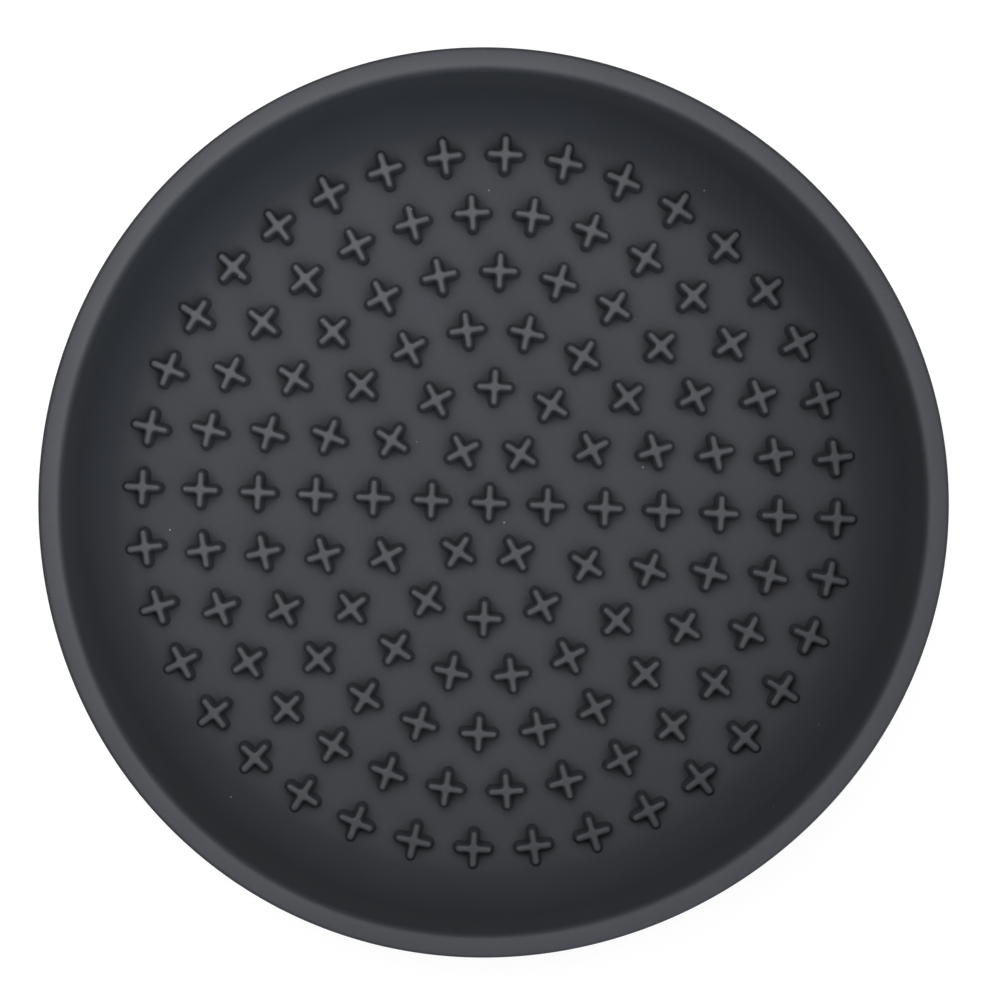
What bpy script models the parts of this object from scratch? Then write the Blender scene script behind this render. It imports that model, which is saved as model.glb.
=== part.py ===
"""Pet lick bowl: a shallow round silicone bowl whose floor carries small cross ridges.

The real bowl is one moulding. Here each zone that does its own job is a separate
solid that seats on the next one: the shell, the lick floor let into it, the rim
band on its wall and the foot ring under its base.

Run it with blender --background --python part.py, or from Blender's text editor.
"""

import math

import bmesh
import bpy
from mathutils import Matrix

MM = 0.001

# Overall size
RIM_DIAMETER = 170.0 * MM
HEIGHT = 30.0 * MM

# Shell
WALL_THICKNESS = 4.6 * MM
FLOOR_THICKNESS = 4.0 * MM
COVE_RADIUS = 15.0 * MM
WALL_DRAFT = math.radians(4.0)

# Rim band
RIM_BAND_HEIGHT = 4.0 * MM
RIM_INNER_EDGE_RADIUS = 1.4 * MM
RIM_OUTER_EDGE_RADIUS = 1.0 * MM

# Foot ring
FOOT_HEIGHT = 2.0 * MM
FOOT_WIDTH = 6.0 * MM
FOOT_INSET = 3.0 * MM

# Lick floor
LICK_FLOOR_THICKNESS = 1.6 * MM
LICK_FLOOR_MARGIN = 0.8 * MM

# Cross ridges: ring n of the pattern lies n pitches out and holds n times the first ring's count
RIDGE_SPAN = 8.25 * MM
RIDGE_LANE = 3.15 * MM
RIDGE_ARM_WIDTH = 2.45 * MM
RIDGE_HEIGHT = 3.0 * MM
RIDGE_SIDE_DRAFT = math.radians(11.5)
RIDGE_LEAST_STEP = 0.75 * MM
FIRST_RING_COUNT = 6

# Clearance between two pieces that seat on each other
SEAT_GAP = 0.3 * MM

# Facets
TURN_STEPS = 72
COVE_FACET = math.radians(13.0)
EDGE_STEPS = 3
ARM_END_STEPS = 3
WELD_DISTANCE = 0.00001

SILICONE_ROUGHNESS = 0.55
SHELL_COLOUR = (0.030, 0.031, 0.036)
LICK_FLOOR_COLOUR = (0.040, 0.041, 0.047)
RIM_COLOUR = (0.050, 0.050, 0.056)
FOOT_COLOUR = (0.030, 0.031, 0.036)

# Levels and radii that follow from the sizes above
BASE_Z = FOOT_HEIGHT
FLOOR_Z = BASE_Z + FLOOR_THICKNESS
RIM_SEAT_Z = HEIGHT - RIM_BAND_HEIGHT
WALL_TOP_Z = RIM_SEAT_Z - SEAT_GAP
RIM_RADIUS = RIM_DIAMETER / 2
RIM_INNER_RADIUS = RIM_RADIUS - WALL_THICKNESS / math.cos(WALL_DRAFT)
RIDGE_PITCH = RIDGE_SPAN + RIDGE_LANE


class Dish:
    """Half section of a round dish: a flat floor, a cove and a wall that leans out."""

    def __init__(self, rim_radius, floor_z, cove_radius):
        # A cove can be no larger than the wall that it runs into.
        tallest_cove = (WALL_TOP_Z - floor_z) / (1 - math.sin(WALL_DRAFT))
        self.cove_radius = min(cove_radius, tallest_cove)
        self.rim_radius = rim_radius
        self.centre_z = floor_z + self.cove_radius
        wall_reach = self.cove_radius + (HEIGHT - self.centre_z) * math.sin(WALL_DRAFT)
        self.flat_radius = rim_radius - wall_reach / math.cos(WALL_DRAFT)

    def wall_radius(self, z):
        """Radius of the leaning wall at height z."""
        return self.rim_radius - (HEIGHT - z) * math.tan(WALL_DRAFT)

    def slope_at(self, radius, depth=0.0):
        """Angle from level of the cove at a radius, on the surface a depth below the dish."""
        return math.asin((radius - self.flat_radius) / (self.cove_radius + depth))

    def cove(self, start, end, depth=0.0):
        """Points of the cove from one slope to another, on the surface a depth below the dish."""
        radius = self.cove_radius + depth
        steps = math.ceil(abs(end - start) / COVE_FACET)
        return arc(self.flat_radius, self.centre_z, radius, start - math.pi / 2, end - math.pi / 2, steps)


def arc(centre_r, centre_z, radius, start, end, steps):
    """Points of a circular arc in the half section, from one angle to another."""
    points = []
    for step in range(steps + 1):
        angle = start + (end - start) * step / steps
        points.append((centre_r + radius * math.cos(angle), centre_z + radius * math.sin(angle)))
    return points


def silicone(name, colour):
    """Matte silicone as a Principled material."""
    material = bpy.data.materials.new(name)
    material.use_nodes = True
    shader = material.node_tree.nodes["Principled BSDF"]
    shader.inputs["Base Color"].default_value = (*colour, 1.0)
    shader.inputs["Roughness"].default_value = SILICONE_ROUGHNESS
    shader.inputs["Metallic"].default_value = 0.0
    material.diffuse_color = (*colour, 1.0)
    return material


def turned(name, profile, closed, collection):
    """Object turned about Z from a half section that runs down its outer side."""
    last = len(profile) - 1
    edges = [(i, i + 1) for i in range(last)]
    if closed:
        edges.append((last, 0))
    mesh = bpy.data.meshes.new(name)
    mesh.from_pydata([(r, 0.0, z) for r, z in profile], edges, [])
    piece = bpy.data.objects.new(name, mesh)
    collection.objects.link(piece)
    screw = piece.modifiers.new("turn", "SCREW")
    screw.steps = TURN_STEPS
    screw.render_steps = TURN_STEPS
    screw.use_merge_vertices = True
    screw.merge_threshold = WELD_DISTANCE
    return piece


def finish(piece, colour, parent):
    """Give a piece its material, smooth shading that keeps its edges, and its parent."""
    depsgraph = bpy.context.evaluated_depsgraph_get()
    mesh = bpy.data.meshes.new_from_object(piece.evaluated_get(depsgraph))
    mesh.name = piece.name
    mesh.shade_smooth()
    mesh.set_sharp_from_angle(angle=math.radians(35))
    mesh.materials.clear()
    mesh.materials.append(silicone(f"{piece.name}_silicone", colour))
    piece.modifiers.clear()
    piece.data = mesh
    piece.parent = parent
    return piece


def ridge_outline():
    """Plus-shaped outline of a ridge where it meets the floor, with round arm ends."""
    half_arm = RIDGE_ARM_WIDTH / 2
    reach = RIDGE_SPAN / 2 - half_arm
    arm = arc(reach, 0.0, half_arm, -math.pi / 2, math.pi / 2, ARM_END_STEPS)
    arm.append((half_arm, half_arm))
    points = []
    for quarter in range(4):
        cos, sin = round(math.cos(quarter * math.pi / 2)), round(math.sin(quarter * math.pi / 2))
        points += [(x * cos - y * sin, x * sin + y * cos) for x, y in arm]
    return points


def ridge_mesh():
    """One ridge at the origin: a deep root, then drafted sides from the floor to a flat top."""
    root_depth = LICK_FLOOR_THICKNESS
    side_lean = RIDGE_HEIGHT * math.tan(RIDGE_SIDE_DRAFT)
    bm = bmesh.new()
    corners = [bm.verts.new((x, y, FLOOR_Z - root_depth)) for x, y in ridge_outline()]
    bottom = bm.faces.new(corners)
    root = bmesh.ops.extrude_face_region(bm, geom=[bottom], use_keep_orig=True)
    top_corners = [item for item in root["geom"] if isinstance(item, bmesh.types.BMVert)]
    top = [item for item in root["geom"] if isinstance(item, bmesh.types.BMFace)]
    bmesh.ops.translate(bm, verts=top_corners, vec=(0.0, 0.0, root_depth))
    bottom.normal_flip()
    bmesh.ops.inset_region(bm, faces=top, thickness=side_lean, depth=RIDGE_HEIGHT, use_even_offset=True)
    bmesh.ops.recalc_face_normals(bm, faces=bm.faces)
    mesh = bpy.data.meshes.new("ridge")
    bm.to_mesh(mesh)
    bm.free()
    return mesh


def ridge_places(ring_count):
    """Placement of every ridge: one in the middle, then rings with an arm pair along the radius."""
    places = [Matrix.Identity(4)]
    for ring in range(1, ring_count + 1):
        ridges = ring * FIRST_RING_COUNT
        for index in range(ridges):
            turn = Matrix.Rotation(2 * math.pi * index / ridges, 4, "Z")
            places.append(turn @ Matrix.Translation((ring * RIDGE_PITCH, 0.0, 0.0)))
    return places


def hide_as_cutter(piece):
    piece.hide_render = True
    piece.display_type = "WIRE"
    return piece


def root_trim(inside, lick_radius, collection):
    """Solid that ends every ridge's root halfway down the lick floor, also where the cove rises."""
    depth = LICK_FLOOR_THICKNESS / 2
    profile = [(0.0, FLOOR_Z - depth)]
    profile += inside.cove(0.0, inside.slope_at(lick_radius, depth), depth)
    profile += [(lick_radius, BASE_Z), (0.0, BASE_Z)]
    return hide_as_cutter(turned("root_trim", profile, False, collection))


def ridge_field(inside, ring_count, lick_radius, collection):
    """All ridges as one mesh, which the lick floor takes in with a Boolean."""
    ridge = ridge_mesh()
    bm = bmesh.new()
    for place in ridge_places(ring_count):
        before = len(bm.verts)
        bm.from_mesh(ridge)
        bm.verts.ensure_lookup_table()
        bmesh.ops.transform(bm, matrix=place, verts=bm.verts[before:])
    mesh = bpy.data.meshes.new("ridge_field")
    bm.to_mesh(mesh)
    bm.free()
    bpy.data.meshes.remove(ridge)
    field = bpy.data.objects.new("ridge_field", mesh)
    collection.objects.link(field)
    trim = field.modifiers.new("root depth", "BOOLEAN")
    trim.operation = "DIFFERENCE"
    trim.object = root_trim(inside, lick_radius, collection)
    return hide_as_cutter(field)


def lick_floor_size(inside):
    """Ring count and radius of the lick floor, which ends where the cove is nearly at the ridge tops."""
    cove_rise = RIDGE_HEIGHT - RIDGE_LEAST_STEP
    reach = inside.flat_radius + math.sqrt(cove_rise * (2 * inside.cove_radius - cove_rise))
    ring_count = int((reach - RIDGE_SPAN / 2) / RIDGE_PITCH)
    return ring_count, reach + LICK_FLOOR_MARGIN


def make_bowl_shell(inside, outside, lick_radius, collection):
    """Cup with a seat for the lick floor, cut off level below the rim band."""
    seat_depth = LICK_FLOOR_THICKNESS + SEAT_GAP
    seat_radius = lick_radius + SEAT_GAP
    steepest = math.pi / 2 - WALL_DRAFT
    profile = [(0.0, FLOOR_Z - seat_depth)]
    profile += inside.cove(0.0, inside.slope_at(seat_radius, seat_depth), seat_depth)
    profile += inside.cove(inside.slope_at(seat_radius), steepest)
    profile.append((inside.wall_radius(WALL_TOP_Z), WALL_TOP_Z))
    profile.append((outside.wall_radius(WALL_TOP_Z), WALL_TOP_Z))
    profile += outside.cove(steepest, 0.0)
    profile.append((0.0, BASE_Z))
    return turned("bowl_shell", profile, False, collection)


def make_lick_floor(inside, ring_count, lick_radius, collection, cutters):
    """Thin dish that fills the shell's seat, with every ridge standing on it."""
    depth = LICK_FLOOR_THICKNESS
    profile = [(0.0, FLOOR_Z)]
    profile += inside.cove(0.0, inside.slope_at(lick_radius))
    profile += inside.cove(inside.slope_at(lick_radius, depth), 0.0, depth)
    profile.append((0.0, FLOOR_Z - depth))
    floor = turned("lick_floor", profile, False, collection)
    flatten = floor.modifiers.new("one flat face", "DECIMATE")
    flatten.decimate_type = "DISSOLVE"
    flatten.angle_limit = math.radians(0.5)
    join = floor.modifiers.new("ridges", "BOOLEAN")
    join.operation = "UNION"
    join.object = ridge_field(inside, ring_count, lick_radius, cutters)
    return floor


def make_rim_band(inside, outside, collection):
    """Top of the wall: drafted sides and a flat land between two rounded edges."""
    profile = [(inside.wall_radius(RIM_SEAT_Z), RIM_SEAT_Z)]
    edge = min(RIM_INNER_EDGE_RADIUS, WALL_THICKNESS / 2, RIM_BAND_HEIGHT)
    edge_r = inside.wall_radius(HEIGHT - edge) + edge / math.cos(WALL_DRAFT)
    profile += arc(edge_r, HEIGHT - edge, edge, math.pi - WALL_DRAFT, math.pi / 2, EDGE_STEPS)
    edge = min(RIM_OUTER_EDGE_RADIUS, WALL_THICKNESS / 2, RIM_BAND_HEIGHT)
    edge_r = outside.wall_radius(HEIGHT - edge) - edge / math.cos(WALL_DRAFT)
    profile += arc(edge_r, HEIGHT - edge, edge, math.pi / 2, -WALL_DRAFT, EDGE_STEPS)
    profile.append((outside.wall_radius(RIM_SEAT_Z), RIM_SEAT_Z))
    return turned("rim_band", profile, True, collection)


def make_foot_ring(outside, collection):
    """Flat ring under the base, set in from where the base starts to curve up."""
    outer = outside.flat_radius - FOOT_INSET
    inner = outer - FOOT_WIDTH
    top = BASE_Z - SEAT_GAP
    return turned("foot_ring", [(inner, top), (outer, top), (outer, 0.0), (inner, 0.0)], True, collection)


def new_collection(name):
    collection = bpy.data.collections.new(name)
    bpy.context.scene.collection.children.link(collection)
    return collection


def main():
    for old in list(bpy.data.objects):
        bpy.data.objects.remove(old)
    parts = new_collection("pet_lick_bowl")
    cutters = new_collection("pet_lick_bowl_cutters")
    origin = bpy.data.objects.new("pet_lick_bowl_origin", None)
    parts.objects.link(origin)

    inside = Dish(RIM_INNER_RADIUS, FLOOR_Z, COVE_RADIUS)
    outside = Dish(RIM_RADIUS, BASE_Z, COVE_RADIUS + WALL_THICKNESS)
    ring_count, lick_radius = lick_floor_size(inside)

    shell = make_bowl_shell(inside, outside, lick_radius, parts)
    floor = make_lick_floor(inside, ring_count, lick_radius, parts, cutters)
    rim = make_rim_band(inside, outside, parts)
    foot = make_foot_ring(outside, parts)

    finish(shell, SHELL_COLOUR, origin)
    finish(floor, LICK_FLOOR_COLOUR, origin)
    finish(rim, RIM_COLOUR, origin)
    finish(foot, FOOT_COLOUR, origin)
    print(f"flat floor radius {inside.flat_radius / MM:.2f} mm, lick floor radius {lick_radius / MM:.2f} mm")
    print(f"{ring_count} rings of ridges, {len(ridge_places(ring_count))} ridges in all")


main()
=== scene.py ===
# %% [markdown]
# # A silicone lick bowl
# This lesson dresses the solids of a pet lick bowl for a close look from above. The real bowl is one
# soft moulding: a flat-topped rim, a steep wall, a wide cove, and a floor full of small cross ridges.
# The solids give the sizes and the places. Each one is replaced here by a finer skin of the same zone,
# and the skins meet so smoothly that they read as one piece of rubber again.

# %% Load the frame
import math

import bpy
import numpy as np
from mathutils.geometry import delaunay_2d_cdt
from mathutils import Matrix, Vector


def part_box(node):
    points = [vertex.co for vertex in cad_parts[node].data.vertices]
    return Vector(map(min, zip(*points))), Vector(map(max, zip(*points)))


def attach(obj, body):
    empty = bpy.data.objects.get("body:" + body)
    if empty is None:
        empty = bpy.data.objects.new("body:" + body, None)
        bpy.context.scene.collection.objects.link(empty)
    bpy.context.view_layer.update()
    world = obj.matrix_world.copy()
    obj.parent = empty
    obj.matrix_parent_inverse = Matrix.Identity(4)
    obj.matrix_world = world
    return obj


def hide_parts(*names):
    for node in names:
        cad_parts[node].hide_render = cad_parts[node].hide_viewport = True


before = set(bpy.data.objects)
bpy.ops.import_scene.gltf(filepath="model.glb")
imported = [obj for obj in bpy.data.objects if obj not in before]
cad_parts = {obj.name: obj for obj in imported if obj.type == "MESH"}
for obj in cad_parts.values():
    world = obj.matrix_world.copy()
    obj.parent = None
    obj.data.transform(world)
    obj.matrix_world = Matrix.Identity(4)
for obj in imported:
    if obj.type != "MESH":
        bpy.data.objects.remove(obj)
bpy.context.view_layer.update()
print("nodes:", sorted(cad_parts))

# %% [markdown]
# ## Sizes
# The boxes of the solids already say how high the rim is, how wide the foot is and where the ridges
# end. What a box can't tell, such as the radius of the cove or the draft of the wall, is repeated here
# as a real size in millimetres, so every skin below is worked out from this one cell.

# %% Read the sizes
MM = 0.001
rim_low, rim_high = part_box("rim_band")
floor_low, floor_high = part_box("lick_floor")

HEIGHT = rim_high.z
RIM_SEAT_Z = rim_low.z
BASE_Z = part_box("bowl_shell")[0].z
LICK_RADIUS = floor_high.x
FOOT_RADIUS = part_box("foot_ring")[1].x

RIM_RADIUS = 85.0 * MM
WALL_THICKNESS = 4.6 * MM
WALL_DRAFT = math.radians(4.0)
COVE_RADIUS = 15.0 * MM
RIM_INNER_EDGE = 1.4 * MM
RIM_OUTER_EDGE = 1.0 * MM
FOOT_WIDTH = 6.0 * MM
FOOT_EDGE = 0.6 * MM
LICK_THICKNESS = 1.6 * MM

RIDGE_PITCH = 11.4 * MM
RIDGE_SPAN = 8.25 * MM
RIDGE_ARM = 2.45 * MM
RIDGE_DRAFT = math.radians(11.5)
RIDGE_RINGS = 6
FIRST_RING = 6

FLOOR_Z = floor_low.z + LICK_THICKNESS
RIDGE_HEIGHT = floor_high.z - FLOOR_Z
print(f"bowl {2 * RIM_RADIUS / MM:.0f} mm wide, {HEIGHT / MM:.0f} mm high, ridges {RIDGE_HEIGHT / MM:.1f} mm")

# %% [markdown]
# ## The half section
# A bowl like this is turned: one half section swept round its axis. The section is made of straight
# lines and arcs, and each point carries the direction that the surface faces there. Blender could guess
# those directions from the faces, but exact ones let two neighbouring skins meet with no visible line.
# A section is walked with the material on the right, so the surface always faces left of the walk.

# %% Draw lines and arcs with their normals
ARC_STEP = math.radians(3.0)


def line(start, end):
    """Two points of a straight run, as rows of radius, height and the normal's two parts."""
    along = np.subtract(end, start) / np.hypot(*np.subtract(end, start))
    normal = (-along[1], along[0])
    return np.array([(*start, *normal), (*end, *normal)])


def arc(centre, radius, first, last):
    """Points of a round run from one angle to another, in radians."""
    steps = max(2, math.ceil(abs(last - first) / ARC_STEP))
    angle = np.linspace(first, last, steps + 1)
    away = np.stack([np.cos(angle), np.sin(angle)], axis=1)
    facing = -away * np.sign(last - first)
    return np.hstack([np.array(centre) + radius * away, facing])


def dish(rim_radius, floor_z, cove_radius):
    """Where a dish's flat floor ends, and the centre height of the cove that carries it up to the wall."""
    centre_z = floor_z + cove_radius
    reach = cove_radius + (HEIGHT - centre_z) * math.sin(WALL_DRAFT)
    return rim_radius - reach / math.cos(WALL_DRAFT), centre_z


INNER_RADIUS = RIM_RADIUS - WALL_THICKNESS / math.cos(WALL_DRAFT)
FLAT_RADIUS, COVE_Z = dish(INNER_RADIUS, FLOOR_Z, COVE_RADIUS)
BASE_RADIUS, BASE_COVE_Z = dish(RIM_RADIUS, BASE_Z, COVE_RADIUS + WALL_THICKNESS)
print(f"flat floor radius {FLAT_RADIUS / MM:.2f} mm, flat base radius {BASE_RADIUS / MM:.2f} mm")

# %% [markdown]
# ## From half section to skin
# Blender's Screw modifier could do the turning. A few lines of numpy do it as well and keep the exact
# normals. Soft silicone never lies perfectly round, and seen from above this rim bulges a little in
# three places, so the next cells bend every skin by half a millimetre at the rim and nothing at the floor.

# %% Turn a section
TURN_STEPS = 288


def swept(section):
    """Points and normals of a section turned round the axis, ring by ring along the section."""
    turn = np.linspace(0, 2 * np.pi, TURN_STEPS, endpoint=False)
    radius, height, facing_out, facing_up = section.T
    around = np.stack([np.cos(turn), np.sin(turn), np.ones(TURN_STEPS)], axis=1)
    points = np.stack([radius, radius, height], axis=1)[:, None] * around
    normals = np.stack([facing_out, facing_out, facing_up], axis=1)[:, None] * around
    return points.reshape(-1, 3), normals.reshape(-1, 3)


def strips(rings, closed, first=0):
    """Quads between neighbouring rings, facing left of the walk along the section."""
    faces = []
    for ring in range(rings if closed else rings - 1):
        low = first + ring * TURN_STEPS
        high = first + (ring + 1) % rings * TURN_STEPS
        for step in range(TURN_STEPS):
            after = (step + 1) % TURN_STEPS
            faces.append((low + step, high + step, high + after, low + after))
    return faces


print(f"{TURN_STEPS} points in a ring, {2 * math.pi * RIM_RADIUS / TURN_STEPS / MM:.2f} mm apart at the rim")

# %% [markdown]
# A skin is a mesh with those exact normals. It rides on the bowl's one body and stands for a solid. Each
# of its points also carries a number called land, which is 1 on smooth level lands and 0 elsewhere, and
# which the material reads later: a land is smoother rubber and is painted paler, a painted highlight.

# %% Make a skin
RIM_BULGE = 0.5 * MM
RIM_BULGES = 3


def out_of_round(points):
    """Push points in and out round the axis, more and more from the floor up to the rim."""
    x, y, z = points.T
    lift = np.clip((z - FLOOR_Z) / (HEIGHT - FLOOR_Z), 0.0, 1.0)
    radius = np.maximum(np.hypot(x, y), MM)
    grow = 1 + RIM_BULGE * lift**2 * np.cos(RIM_BULGES * np.arctan2(y, x)) / radius
    return np.stack([x * grow, y * grow, z], axis=1)


def skin(name, points, normals, faces, node, material, land):
    """A mesh piece with exact normals that stands for a solid and moves with its body."""
    mesh = bpy.data.meshes.new(name)
    mesh.from_pydata(out_of_round(np.asarray(points)), [], faces)
    mesh.polygons.foreach_set("use_smooth", [True] * len(mesh.polygons))
    mesh.normals_split_custom_set_from_vertices(np.asarray(normals))
    mesh.attributes.new("land", "FLOAT", "POINT").data.foreach_set("value", np.asarray(land, dtype=float))
    mesh.materials.append(material)
    mesh.validate()
    piece = bpy.data.objects.new(name, mesh)
    bpy.context.scene.collection.objects.link(piece)
    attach(piece, "root")
    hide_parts(node)
    print(f"{name}: {len(mesh.vertices)} points, {len(mesh.polygons)} faces")


def land_share(facing_up, fade):
    """How much of a smooth land a face is: 1 where it is level, 0 where its normal rises less than fade."""
    return np.clip((facing_up - fade) / (1 - fade), 0, 1)


print(f"the rim bulges by {RIM_BULGE / MM:.1f} mm in {RIM_BULGES} places")

# %% [markdown]
# ## Materials as nodes
# In Blender a material is a small graph of nodes. One function adds a node, sets it up and links its
# inputs, so a material reads as a list of steps. Colours are written as the screen shows them, in sRGB,
# and turned into the linear values that the renderer works with.

# %% Add nodes and colours
def linear(hex_colour):
    """Linear colour from an sRGB hex value."""
    parts = [int(hex_colour[i:i + 2], 16) / 255 for i in (1, 3, 5)]
    return (*(p / 12.92 if p <= 0.04045 else ((p + 0.055) / 1.055) ** 2.4 for p in parts), 1.0)


def add(tree, kind, inputs=(), **settings):
    """Add a node and give its outputs. Inputs go in order or by name, each a value or a socket to link."""
    node = tree.nodes.new(kind)
    for name, value in settings.items():
        setattr(node, name, value)
    for socket, value in inputs.items() if isinstance(inputs, dict) else enumerate(inputs):
        if isinstance(value, bpy.types.NodeSocket):
            tree.links.new(value, node.inputs[socket])
        else:
            node.inputs[socket].default_value = value
    return node.outputs


def blank_material(name):
    """A material with no nodes yet."""
    material = bpy.data.materials.new(name)
    material.use_nodes = True
    material.node_tree.nodes.clear()
    return material


print("middle grey is", round(linear("#808080")[0], 3), "in linear light")

# %% [markdown]
# ## Moulded silicone
# Silicone rubber takes the finish of its mould. This mould was blasted with fine beads, so the rubber is
# matte with a fine grain, and shows a faint sheen where it is seen at a flat angle. Its colour comes
# first. Steep faces are painted darker than level ones, a painted shade for the light they get less of.
# The lands on the rim and the ridges are smoother, and painted paler still, which is a painted highlight.

# %% Colour the silicone by slope, as painted shade
SHADE_SLOPE = 0.8  # faces whose normals rise less than this get the full painted shade of steep faces


def slope_shaded(tree, land_highlight_share, steep_shade, level_rubber, land):
    """Colour that goes from a painted shade on steep faces to the plain colour on level ones, and to a paler
    painted highlight where land is 1.
    """
    normal = add(tree, "ShaderNodeTexCoord")["Normal"]
    up = add(tree, "ShaderNodeSeparateXYZ", [normal])["Z"]
    facing_up_share = add(tree, "ShaderNodeMapRange", [up, SHADE_SLOPE, 1.0])["Result"]
    level = add(tree, "ShaderNodeMath", [facing_up_share, land_highlight_share], operation="MAXIMUM")["Value"]
    shades = {"Factor": land_highlight_share, "A": linear(level_rubber), "B": linear(land)}
    level_colour = add(tree, "ShaderNodeMix", shades, data_type="RGBA")["Result"]
    shades = {"Factor": level, "A": linear(steep_shade), "B": level_colour}
    return add(tree, "ShaderNodeMix", shades, data_type="RGBA")["Result"]


# faces steeper than this slope get the full painted shade
print(f"dust stays on slopes of up to {math.degrees(math.acos(SHADE_SLOPE)):.0f} degrees")

# %% [markdown]
# The tone of the rubber isn't even. The corners at the ridges' feet, which the Ambient Occlusion node
# finds, are painted darker as painted shade, and one noise texture adds faint clouds and another the fine
# grain.

# %% Vary its tone
SHELTER = 2.6 * MM  # how far from a ridge its corner gets painted shade
SHELTERED, OPEN = 0.3, 0.93  # share of the sky that is seen in a corner and on the open floor
# share of the colour left in the darkest corner, which is painted shade
CORNER_SHADE_TONE = 0.35
NOISE_LOW, NOISE_HIGH = 0.3, 0.7  # the range that a noise texture mostly stays in
MOTTLE = 14.0 * MM
MOTTLE_TONE = 0.05
GRAIN_TONE = 0.06


def shaded_and_uneven(tree, place, grain):
    """Share of the colour that is left: less in corners, as painted shade, and a little more or less in the
    clouds and grain.
    """
    # Ambient Occlusion paints shade into the corners at the ridges' feet
    sky = add(tree, "ShaderNodeAmbientOcclusion", {"Distance": SHELTER}, samples=8)["AO"]
    corner_shade = add(tree, "ShaderNodeMapRange", [sky, SHELTERED, OPEN, CORNER_SHADE_TONE, 1.0])["Result"]
    mottle = add(tree, "ShaderNodeTexNoise", {"Vector": place, "Scale": 1 / MOTTLE, "Detail": 3.0})["Fac"]
    span = [NOISE_LOW, NOISE_HIGH, 1 - MOTTLE_TONE, 1 + MOTTLE_TONE]
    cloudy = add(tree, "ShaderNodeMapRange", [mottle, *span])["Result"]
    span = [NOISE_LOW, NOISE_HIGH, 1 - GRAIN_TONE, 1 + GRAIN_TONE]
    grainy = add(tree, "ShaderNodeMapRange", [grain, *span])["Result"]
    tone = add(tree, "ShaderNodeMath", [cloudy, grainy], operation="MULTIPLY")["Value"]
    return add(tree, "ShaderNodeMath", [corner_shade, tone], operation="MULTIPLY")["Value"]


print(f"clouds of {MOTTLE / MM:.0f} mm, corners dark for {SHELTER / MM:.1f} mm")

# %% [markdown]
# Static also holds a few larger specks of dust. A Voronoi texture deals out cells, each with a random
# colour, and a speck sits in the middle of those few that drew a low one.

# %% Scatter specks of dust
SPECK_SPACING = 3.0 * MM
SPECK_RADIUS = 0.16 * MM
SPECK_SHARE = 0.05


def on_speck(tree, place):
    """1 on a speck of dust and 0 elsewhere."""
    cells = add(tree, "ShaderNodeTexVoronoi", {"Vector": place, "Scale": 1 / SPECK_SPACING})
    draw = add(tree, "ShaderNodeSeparateColor", [cells["Color"]])["Red"]
    drawn = add(tree, "ShaderNodeMath", [draw, SPECK_SHARE], operation="LESS_THAN")["Value"]
    reach = [cells["Distance"], SPECK_RADIUS / SPECK_SPACING]
    near = add(tree, "ShaderNodeMath", reach, operation="LESS_THAN")["Value"]
    return add(tree, "ShaderNodeMath", [near, drawn], operation="MULTIPLY")["Value"]


print(f"specks {2 * SPECK_RADIUS / MM:.2f} mm across in one of {1 / SPECK_SHARE:.0f} cells")

# %% [markdown]
# Put together, these make one material for all four skins. Roughness and IOR start from what bead-blasted
# silicone has, and the bump is as shallow as the pits that the beads left.

# %% Make the silicone
SILICONE_IOR = 1.41
MATTE_ROUGHNESS = 0.80
LAND_ROUGHNESS = 0.45
SHEEN = 0.03
SHEEN_ROUGHNESS = 0.4
GRAIN = 0.35 * MM  # the real pits are about 0.1 mm wide, and are drawn coarser so that they show
GRAIN_DEPTH = 0.1 * MM
GRAIN_BUMP = 0.12


def moulded_silicone(name, steep_shade, level_rubber, land, speck):
    """Matte silicone rubber with a fine grain, specks of dust and painted shade, smoother and with a painted
    highlight where land is 1.
    """
    material = blank_material(name)
    tree = material.node_tree
    place = add(tree, "ShaderNodeTexCoord")["Object"]
    # land marks the lands, smoother rubber that is also painted paler as a painted highlight
    land_highlight_share = add(tree, "ShaderNodeAttribute", attribute_name="land")["Fac"]
    grain = add(tree, "ShaderNodeTexNoise", {"Vector": place, "Scale": 1 / GRAIN, "Detail": 2.0})["Fac"]

    parts = {"Vector": slope_shaded(tree, land_highlight_share, steep_shade, level_rubber, land), "Scale": shaded_and_uneven(tree, place, grain)}
    toned = add(tree, "ShaderNodeVectorMath", parts, operation="SCALE")["Vector"]
    shades = {"Factor": on_speck(tree, place), "A": toned, "B": linear(speck)}
    colour = add(tree, "ShaderNodeMix", shades, data_type="RGBA")["Result"]
    span = [0.0, 1.0, MATTE_ROUGHNESS, LAND_ROUGHNESS]
    roughness = add(tree, "ShaderNodeMapRange", [land_highlight_share, *span])["Result"]
    pits = {"Height": grain, "Strength": GRAIN_BUMP, "Distance": GRAIN_DEPTH}
    bumpy = add(tree, "ShaderNodeBump", pits)["Normal"]
    surface = {"Base Color": colour, "Roughness": roughness, "Normal": bumpy, "IOR": SILICONE_IOR,
               "Sheen Weight": SHEEN, "Sheen Roughness": SHEEN_ROUGHNESS}
    shader = add(tree, "ShaderNodeBsdfPrincipled", surface)["BSDF"]
    add(tree, "ShaderNodeOutputMaterial", {"Surface": shader})
    return material


# The darkest colour is painted shade for steep faces, the palest one, for the lands, is a painted highlight,
# and the speck colour is real dust.
silicone = moulded_silicone("silicone_rubber_bead_blasted_mould",
                            steep_shade="#2B2E33", level_rubber="#3B3C41", land="#46474C", speck="#8C8C8A")
print("material:", silicone.name, "with", len(silicone.node_tree.nodes), "nodes")

# %% [markdown]
# ## The shell
# The shell is the cup: base, cove and wall. Its section starts on the axis under the lick floor, comes
# into view where that floor ends, climbs the cove and the wall to the rim's seat, and runs down the
# outside to the base. Only the part in view needs fine steps, and it is made of one arc and one line.

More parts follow.
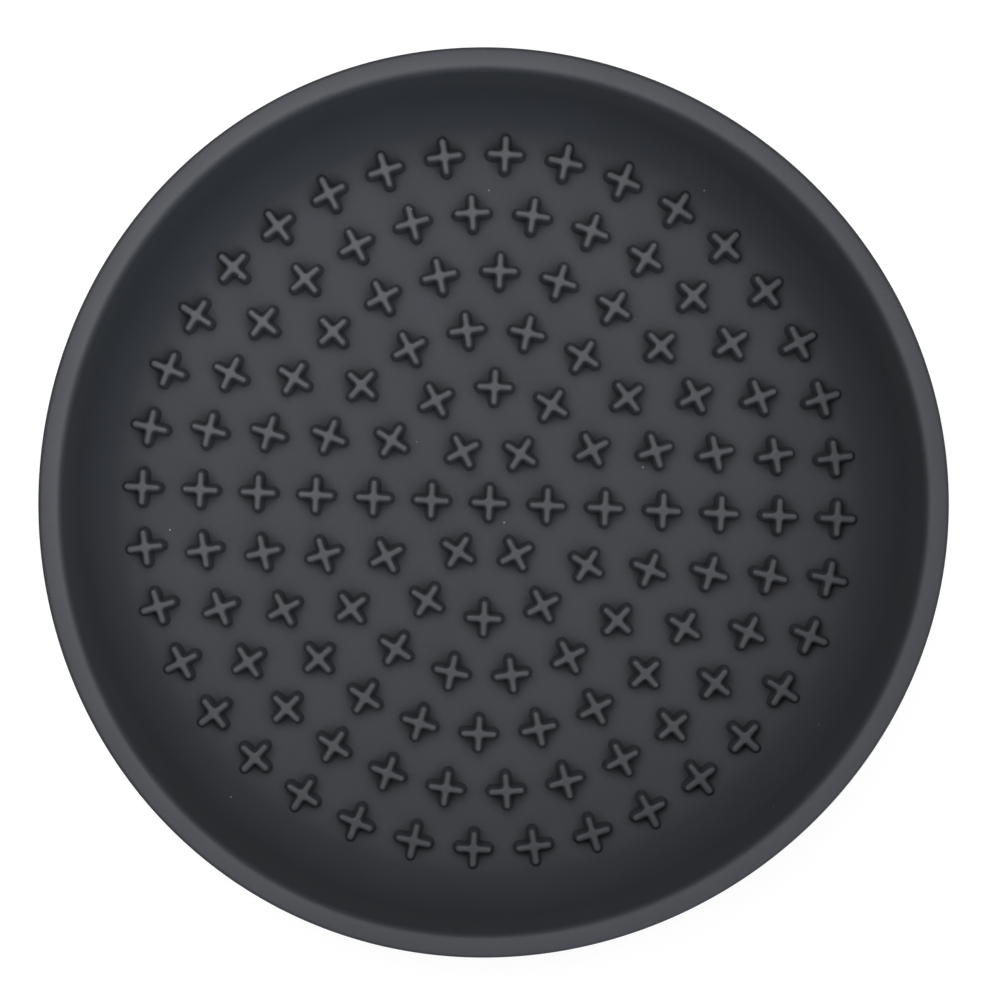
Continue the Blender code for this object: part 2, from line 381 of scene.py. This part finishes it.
# %% Turn the shell
STEEPEST = math.pi / 2 - WALL_DRAFT
DOWN = -math.pi / 2
LICK_SLOPE = math.asin((LICK_RADIUS - FLAT_RADIUS) / COVE_RADIUS)
SEAT_Z = FLOOR_Z - LICK_THICKNESS


def wall_point(rim_radius, z):
    """Point of the leaning wall at a height."""
    return rim_radius - (HEIGHT - z) * math.tan(WALL_DRAFT), z


inner_cove = arc((FLAT_RADIUS, COVE_Z), COVE_RADIUS, DOWN + LICK_SLOPE, DOWN + STEEPEST)
inner_wall = line(inner_cove[-1, :2], wall_point(INNER_RADIUS, RIM_SEAT_Z))
outer_cove = arc((BASE_RADIUS, BASE_COVE_Z), COVE_RADIUS + WALL_THICKNESS, DOWN + STEEPEST, DOWN)
outer_wall = line(wall_point(RIM_RADIUS, RIM_SEAT_Z), outer_cove[0, :2])
seat = line((FLAT_RADIUS / 2, SEAT_Z), (FLAT_RADIUS, SEAT_Z))
base = line(outer_cove[-1, :2], (BASE_RADIUS / 2, BASE_Z))
shell_section = np.vstack([seat, inner_cove, inner_wall[1:], outer_wall[:1], outer_cove, base[1:]])
points, normals = swept(shell_section)
shell_faces = strips(len(shell_section), False)
shell_faces.append(tuple(range(TURN_STEPS)))
shell_faces.append(tuple(reversed(range(len(points) - TURN_STEPS, len(points)))))
skin("bowl_shell_skin", points, normals, shell_faces, "bowl_shell",
     silicone, np.zeros(len(points)))

# %% [markdown]
# ## The rim
# The rim is a flat land between two rounded edges. A Bevel modifier would round them too, but two arcs
# in the section are exact, and the land can be marked as smoother rubber with a painted highlight while
# the section is drawn. Its inner half is marked more strongly, so it is smoother and its painted highlight
# brighter.

# %% Turn the rim
RIM_FADE = 0.75  # the land has faded out where the normal rises less than this
# land on the rim's inner and outer halves: smoother rubber with a painted highlight, brighter inside
INNER_LAND_HIGHLIGHT, OUTER_LAND_HIGHLIGHT = 0.65, 0.32


def rim_edge(rim_radius, radius, inward, first, last):
    """Rounded edge between the leaning wall and the level land."""
    centre_z = HEIGHT - radius
    centre_r = wall_point(rim_radius, centre_z)[0] - inward * radius / math.cos(WALL_DRAFT)
    return arc((centre_r, centre_z), radius, first, last)


inner_edge = rim_edge(INNER_RADIUS, RIM_INNER_EDGE, -1, math.pi - WALL_DRAFT, math.pi / 2)
outer_edge = rim_edge(RIM_RADIUS, RIM_OUTER_EDGE, 1, math.pi / 2, -WALL_DRAFT)
inner_side = line(wall_point(INNER_RADIUS, RIM_SEAT_Z), inner_edge[0, :2])
outer_side = line(outer_edge[-1, :2], wall_point(RIM_RADIUS, RIM_SEAT_Z))
rim_section = np.vstack([inner_side[:1], inner_edge, outer_edge, outer_side[1:]])
points, normals = swept(rim_section)
inner_half = np.hypot(points[:, 0], points[:, 1]) < RIM_RADIUS - WALL_THICKNESS / 2
rim_land_highlight = np.where(inner_half, INNER_LAND_HIGHLIGHT, OUTER_LAND_HIGHLIGHT) * land_share(normals[:, 2], RIM_FADE)
skin("rim_band_skin", points, normals, strips(len(rim_section), True), "rim_band",
     silicone, rim_land_highlight)

# %% [markdown]
# ## The foot ring
# The foot can't be seen from above. It is a plain low ring with softly rounded edges, so that the bowl
# stands on a flat face and looks finished from the side.

# %% Turn the foot ring
FOOT_INNER = FOOT_RADIUS - FOOT_WIDTH
FOOT_TOP_Z = BASE_Z + FOOT_EDGE / 2  # a little inside the base, so that no gap shows

foot_section = np.vstack([
    line((FOOT_INNER, FOOT_TOP_Z), (FOOT_RADIUS, FOOT_TOP_Z)),
    arc((FOOT_RADIUS - FOOT_EDGE, FOOT_EDGE), FOOT_EDGE, 0.0, DOWN),
    arc((FOOT_INNER + FOOT_EDGE, FOOT_EDGE), FOOT_EDGE, DOWN, -math.pi),
])
points, normals = swept(foot_section)
skin("foot_ring_skin", points, normals, strips(len(foot_section), True), "foot_ring",
     silicone, np.zeros(len(points)))

# %% [markdown]
# ## One ridge
# A ridge is a plus with round arm ends and soft crotches. Its outline at any width is four half circles
# and four hollow arcs, so outlines of growing width nest neatly. A ridge's side is such a stack: a
# fillet that leaves the floor, a drafted side, and a rounded crest. Each outline is one row of the stack.

# %% Draw a ridge as a stack of outlines
CREST_RADIUS = 0.64 * MM
ROOT_RADIUS = 0.15 * MM
CROTCH = 1.2 * MM
LEAST_CROTCH = 0.15 * MM
TIP = (RIDGE_SPAN - RIDGE_ARM) / 2
TIP_STEPS = 6
CROTCH_STEPS = 3
ROOT_STEPS = 2
CREST_STEPS = 6


def plus_outline(width):
    """Outline of a plus whose arms have this half width, with the direction that each point faces."""
    tip = np.linspace(-np.pi / 2, np.pi / 2, TIP_STEPS + 1)
    crotch = np.linspace(-np.pi / 2, -np.pi, CROTCH_STEPS + 1)
    tip_facing = np.stack([np.cos(tip), np.sin(tip)], axis=1)
    crotch_facing = -np.stack([np.cos(crotch), np.sin(crotch)], axis=1)
    corner = max(CROTCH, width + LEAST_CROTCH)
    quarter = np.vstack([(TIP, 0) + width * tip_facing, corner - (corner - width) * crotch_facing])
    facing = np.vstack([tip_facing, crotch_facing])
    turns = [np.array([[c, s], [-s, c]]) for c, s in ((1, 0), (0, 1), (-1, 0), (0, -1))]
    return np.vstack([quarter @ t for t in turns]), np.vstack([facing @ t for t in turns])


def ridge_side():
    """Rows of half width, height and the normal's two parts, from the floor up to the crest."""
    lean = 1 / math.cos(RIDGE_DRAFT)
    root = RIDGE_ARM / 2 - ROOT_RADIUS * math.tan(RIDGE_DRAFT) + ROOT_RADIUS * lean
    crest_z = RIDGE_HEIGHT - CREST_RADIUS
    crest = RIDGE_ARM / 2 - crest_z * math.tan(RIDGE_DRAFT) - CREST_RADIUS * lean
    low = np.linspace(1.5 * np.pi, np.pi + RIDGE_DRAFT, ROOT_STEPS + 1)
    high = np.linspace(RIDGE_DRAFT, np.pi / 2, CREST_STEPS + 1)
    rows = [(root + ROOT_RADIUS * c, ROOT_RADIUS + ROOT_RADIUS * s, -c, -s)
            for c, s in zip(np.cos(low), np.sin(low))]
    rows += [(crest + CREST_RADIUS * c, crest_z + CREST_RADIUS * s, c, s)
             for c, s in zip(np.cos(high), np.sin(high))]
    return rows


rows = ridge_side()
ROWS = len(rows)
OUTLINE = len(plus_outline(MM)[0])
print(f"ridge: {ROWS} outlines of {OUTLINE} points")

# %% [markdown]
# ## The lick floor
# The floor holds one ridge in the middle and six rings round it. Ring n lies n pitches out and holds
# 6n ridges, each turned so that one arm pair points at the axis. The outer ring stands where the cove
# has started to rise, so there the rows are squeezed between the rising floor and the level crests.

# %% Place the ridges on the floor
LEAST_RISE = 1e-6  # keeps the slope of an upright face finite
LEAST_RADIUS = 1e-9  # keeps the axis itself from dividing by zero
COVE_END = 0.999  # share of the cove's radius where its slope is still finite


def cove_rise(radius):
    """How far the bowl's inside has risen above its flat floor at a radius, and how steeply it rises."""
    out = np.clip(radius - FLAT_RADIUS, 0, COVE_END * COVE_RADIUS)
    fall = np.sqrt(COVE_RADIUS**2 - out**2)
    return COVE_RADIUS - fall, out / fall


def placed_row(row, radius, turn):
    """Points and normals of one row of a ridge that stands at a radius and is turned about the axis."""
    width, rise, facing_out, facing_up = row
    xy, facing = plus_outline(width)
    c, s = math.cos(turn), math.sin(turn)
    to_place = np.array([[c, s], [-s, c]])
    spot = (xy + (radius, 0)) @ to_place
    away = np.hypot(*spot.T)
    floor_rise, floor_slope = cove_rise(away)
    squeeze = 1 - floor_rise / RIDGE_HEIGHT
    outward = spot / np.maximum(away, LEAST_RADIUS)[:, None]
    uphill = outward * (floor_slope * (1 - rise / RIDGE_HEIGHT))[:, None]
    slope = facing_out / max(facing_up, LEAST_RISE)
    tilt = facing @ to_place * (slope * squeeze)[:, None] - uphill
    normal = np.column_stack([tilt, np.ones(len(tilt))])
    points = np.column_stack([spot, FLOOR_Z + floor_rise + rise * squeeze])
    return points, normal / np.linalg.norm(normal, axis=1)[:, None]


places = [(0.0, 0.0)]
for ring in range(1, RIDGE_RINGS + 1):
    count = ring * FIRST_RING
    places += [(ring * RIDGE_PITCH, 2 * math.pi * i / count) for i in range(count)]
placed = [placed_row(row, *place) for place in places for row in rows]
ridge_points = np.vstack([points for points, _ in placed])
ridge_normals = np.vstack([normals for _, normals in placed])
print(f"{len(places)} ridges placed")

# %% [markdown]
# The rows of each ridge become rings of quads with one flat face on top. Only the upper rows are marked
# as land, and less and less towards the sides, so the crests are smoother and carry a painted highlight.

# %% Close the ridges
CREST_FADE = 0.5  # on a crest it fades out further down

ridge_faces = []
for ridge in range(len(places)):
    start = ridge * ROWS * OUTLINE
    for row in range(ROWS - 1):
        low = start + row * OUTLINE
        high = low + OUTLINE
        for i in range(OUTLINE):
            j = (i + 1) % OUTLINE
            ridge_faces.append((low + i, low + j, high + j, high + i))
    ridge_faces.append(tuple(range(start + (ROWS - 1) * OUTLINE, start + ROWS * OUTLINE)))

# the crest rows are marked as land: smoother, with a painted highlight
row_land_highlight = [land_share(up, CREST_FADE) if rise > RIDGE_HEIGHT / 2 else 0.0 for _, rise, _, up in rows]
ridge_land_highlight = np.tile(np.repeat(row_land_highlight, OUTLINE), len(places))
print(f"{len(ridge_faces)} faces on the ridges")

# %% [markdown]
# The floor between the ridges is filled by Blender's own constrained Delaunay triangulation. It gets the
# lowest outline of each ridge, rings of points up the cove, and the edge of the lick floor. The triangles
# that fall inside an outline are left out.

# %% Fill the floor between the ridges
POINT_GAP = 0.35 * MM  # cove points nearer to a ridge than this would make slivers
ROUNDING = 0.004 * MM  # triangles beside a ridge may cut this far into its round outline
SAME_POINT = 1e-9


def in_ridge(spots, margin):
    """Which of these spots lie inside the lowest outline of a ridge, or within a margin of it."""
    inside = np.zeros(len(spots), dtype=bool)
    reach = rows[0][0] + margin
    corner = max(CROTCH, reach + LEAST_CROTCH)
    for radius, turn in places:
        c, s = math.cos(turn), math.sin(turn)
        local = np.abs(spots @ np.array([[c, -s], [s, c]]) - (radius, 0))
        long, short = local.max(axis=1), local.min(axis=1)
        arm = np.hypot(np.maximum(long - TIP, 0), short) < reach
        crotch = (long < corner) & (np.hypot(corner - long, corner - short) > corner - reach)
        inside |= arm | crotch
    return inside


def loop(first, count):
    """Edges of a closed loop of points."""
    return [(first + i, first + (i + 1) % count) for i in range(count)]


cove_points, cove_normals = swept(arc((FLAT_RADIUS, COVE_Z), COVE_RADIUS, DOWN, DOWN + LICK_SLOPE))
last_ring = np.arange(len(cove_points)) >= len(cove_points) - TURN_STEPS
keep = last_ring | ~in_ridge(cove_points[:, :2], POINT_GAP)
cove_points, cove_normals = cove_points[keep], cove_normals[keep]

lowest = np.concatenate([np.arange(OUTLINE) + r * ROWS * OUTLINE for r in range(len(places))])
fill_points = np.vstack([ridge_points[lowest], cove_points])
loops = [edge for ridge in range(len(places)) for edge in loop(ridge * OUTLINE, OUTLINE)]
loops += loop(len(fill_points) - TURN_STEPS, TURN_STEPS)
made = delaunay_2d_cdt([tuple(p[:2]) for p in fill_points], loops, [], 0, SAME_POINT)
print(f"triangulated: {len(made[0])} points from {len(fill_points)}, {len(made[2])} triangles")

# %% [markdown]
# The lick floor is a layer that lies in the shell's seat, so it needs an underside to be a closed piece.
# Its edge is thin, and the underside drops from there to the seat.

# %% Build the lick floor
EDGE_LIFT = 0.3 * MM

flat = np.array([tuple(p) for p in made[0]])
triangles = np.array([list(t) for t in made[2]])
triangles = triangles[~in_ridge(flat[triangles].mean(axis=1), -ROUNDING)]
origin = [ids[0] for ids in made[3]]
where = np.concatenate([lowest, len(ridge_points) + np.arange(len(cove_points))])
faces = ridge_faces + [tuple(where[origin[i]] for i in t) for t in triangles]

under_section = np.array([
    (LICK_RADIUS, FLOOR_Z + EDGE_LIFT, 0, -1),
    (FLAT_RADIUS, SEAT_Z, 0, -1),
    (FLAT_RADIUS / 2, SEAT_Z, 0, -1),
])
under_points, under_normals = swept(under_section)
points = np.vstack([ridge_points, cove_points, under_points])
normals = np.vstack([ridge_normals, cove_normals, under_normals])
edge_first = len(ridge_points) + len(cove_points) - TURN_STEPS
faces += strips(1 + len(under_section), False, edge_first)
faces.append(tuple(reversed(range(len(points) - TURN_STEPS, len(points)))))
floor_land_highlight = np.zeros(len(points))
floor_land_highlight[:len(ridge_points)] = ridge_land_highlight
skin("lick_floor_skin", points, normals, faces, "lick_floor", silicone, floor_land_highlight)

# %% [markdown]
# ## The white floor
# The bowl was shot on plain white. Paper lit until it looks white would throw too much light back at the
# bowl, so this floor is grey to the light and glows only for the camera and for reflections. Near the bowl
# the glow stops short of white, which leaves room for the soft shadow.

# %% Lay the floor
FLOOR_WIDTH = 40.0
FLOOR_GAP = 0.05 * MM  # keeps the floor and the foot from sharing one plane
NEAR_BOWL, FAR_FROM_BOWL = 0.2, 0.6  # metres from the axis
NEAR_GLOW = 0.80


def shown(tree):
    """1 for what the camera sees, also in metal or through glass, and 0 for light that falls on things."""
    rays = add(tree, "ShaderNodeLightPath")
    second_hand = [rays["Is Glossy Ray"], rays["Is Transmission Ray"]]
    mirrored = add(tree, "ShaderNodeMath", second_hand, operation="MAXIMUM")["Value"]
    return add(tree, "ShaderNodeMath", [rays["Is Camera Ray"], mirrored], operation="MAXIMUM")["Value"]


bpy.ops.mesh.primitive_plane_add(size=FLOOR_WIDTH)
floor = bpy.context.object
floor.name = "studio_floor"
floor.location.z = -FLOOR_GAP

white = blank_material("white_paper_sweep")
tree = white.node_tree
place = add(tree, "ShaderNodeTexCoord")["Object"]
away = add(tree, "ShaderNodeVectorMath", [place], operation="LENGTH")["Value"]
whiteness = add(tree, "ShaderNodeMapRange", [away, NEAR_BOWL, FAR_FROM_BOWL, NEAR_GLOW, 1.0])["Result"]
glow = add(tree, "ShaderNodeMath", [shown(tree), whiteness], operation="MULTIPLY")["Value"]
paper = add(tree, "ShaderNodeBsdfDiffuse", {"Color": linear("#9A9A98")})["BSDF"]
backing = add(tree, "ShaderNodeEmission", {"Strength": glow})["Emission"]
both = add(tree, "ShaderNodeAddShader", [paper, backing])["Shader"]
add(tree, "ShaderNodeOutputMaterial", {"Surface": both})
floor.data.materials.append(white)
print("floor:", white.name)

# %% [markdown]
# ## Softboxes
# Softboxes stand in a ring and lean in, so the light comes from all round but not from straight above,
# where the camera is. Those behind and to the left are close, which makes that side of the rim brighter,
# and a low one reaches into the wall across from it.

# %% Hang the lights
SOFTBOX_WIDTH = 0.58  # as a share of its distance
FAR, CLOSE = 1.2, 0.36  # metres from the middle of the bowl


def softbox(name, bearing, tilt, distance, watts, colour="#FFFFFF"):
    """A square area light that faces the bowl from a bearing, tilted from straight above, in degrees."""
    lamp = bpy.data.lights.new(name, "AREA")
    lamp.color = linear(colour)[:3]
    lamp.size = SOFTBOX_WIDTH * distance
    lamp.energy = watts
    box = bpy.data.objects.new(name, lamp)
    bpy.context.scene.collection.objects.link(box)
    bearing, tilt = math.radians(bearing), math.radians(tilt)
    level = distance * math.sin(tilt)
    box.location = (level * math.cos(bearing), level * math.sin(bearing), distance * math.cos(tilt))
    box.rotation_euler = (-box.location).to_track_quat("-Z", "Y").to_euler()
    print(f"{name}: {watts} W from {distance} m")


softbox("right_softbox", 20, 38, FAR, 2.5)
softbox("right_back_softbox", 60, 35, FAR, 1.6)
softbox("back_softbox", 100, 31, CLOSE, 0.395)
softbox("left_back_softbox", 145, 31, CLOSE, 0.315)
softbox("left_softbox", 188, 33, CLOSE, 0.24)
softbox("left_front_softbox", 240, 45, FAR, 1.2)
softbox("front_softbox", 285, 45, FAR, 1.2)
softbox("right_front_softbox", 330, 45, FAR, 2.2)
softbox("low_fill", 303, 77, FAR, 6.2, "#E6F2FF")

# %% [markdown]
# ## The room
# The world behind the floor is what a camera sees when it looks from the side. It is dim to the bowl, and
# white only low down and only to the camera and to reflections, as the walls of a white studio would be.

# %% Close the room
ROOM_LIGHT = 0.04
WALL_TOP, WALL_END = 0.15, 0.30  # how high the white goes and where it has faded, as the sine of an angle

world = bpy.data.worlds.new("studio_room")
world.use_nodes = True
tree = world.node_tree
toward = add(tree, "ShaderNodeTexCoord")["Generated"]
rise = add(tree, "ShaderNodeSeparateXYZ", [toward])["Z"]
white_wall = add(tree, "ShaderNodeMapRange", [rise, WALL_TOP, WALL_END, 1 - ROOM_LIGHT, 0.0])["Result"]
extra = add(tree, "ShaderNodeMath", [shown(tree), white_wall], operation="MULTIPLY")["Value"]
strength = add(tree, "ShaderNodeMath", [ROOM_LIGHT, extra], operation="ADD")["Value"]
background = tree.nodes["Background"].inputs
background["Color"].default_value = linear("#FFFFFF")
tree.links.new(strength, background["Strength"])
bpy.context.scene.world = world
print("room:", world.name)

# %% [markdown]
# ## The camera
# The photo was taken from about 40 cm above the table and a little off the axis, so the outer ridges seem
# to lean outwards. The lens shift moves the picture sideways without tilting the view.

# %% Set the camera
PIXELS = 1000
FOCAL_PIXELS = 2031.3
SENSOR = 36.0  # millimetres, as Blender counts it
CAMERA_PLACE = (-3.08 * MM, 6.74 * MM, 408.0 * MM)
CAMERA_TURN = (-1.114, 0.57, 2.596)  # degrees
CAMERA_SHIFT = (0.045, 0.0074)

camera_data = bpy.data.cameras.new("camera")
camera_data.sensor_width = SENSOR
camera_data.lens = FOCAL_PIXELS / PIXELS * SENSOR
camera_data.shift_x, camera_data.shift_y = CAMERA_SHIFT
camera = bpy.data.objects.new("camera", camera_data)
bpy.context.scene.collection.objects.link(camera)
camera.location = CAMERA_PLACE
camera.rotation_euler = [math.radians(angle) for angle in CAMERA_TURN]
bpy.context.scene.camera = camera
bpy.context.scene.view_settings.view_transform = "Standard"
print(f"camera: {camera_data.lens:.1f} mm lens")
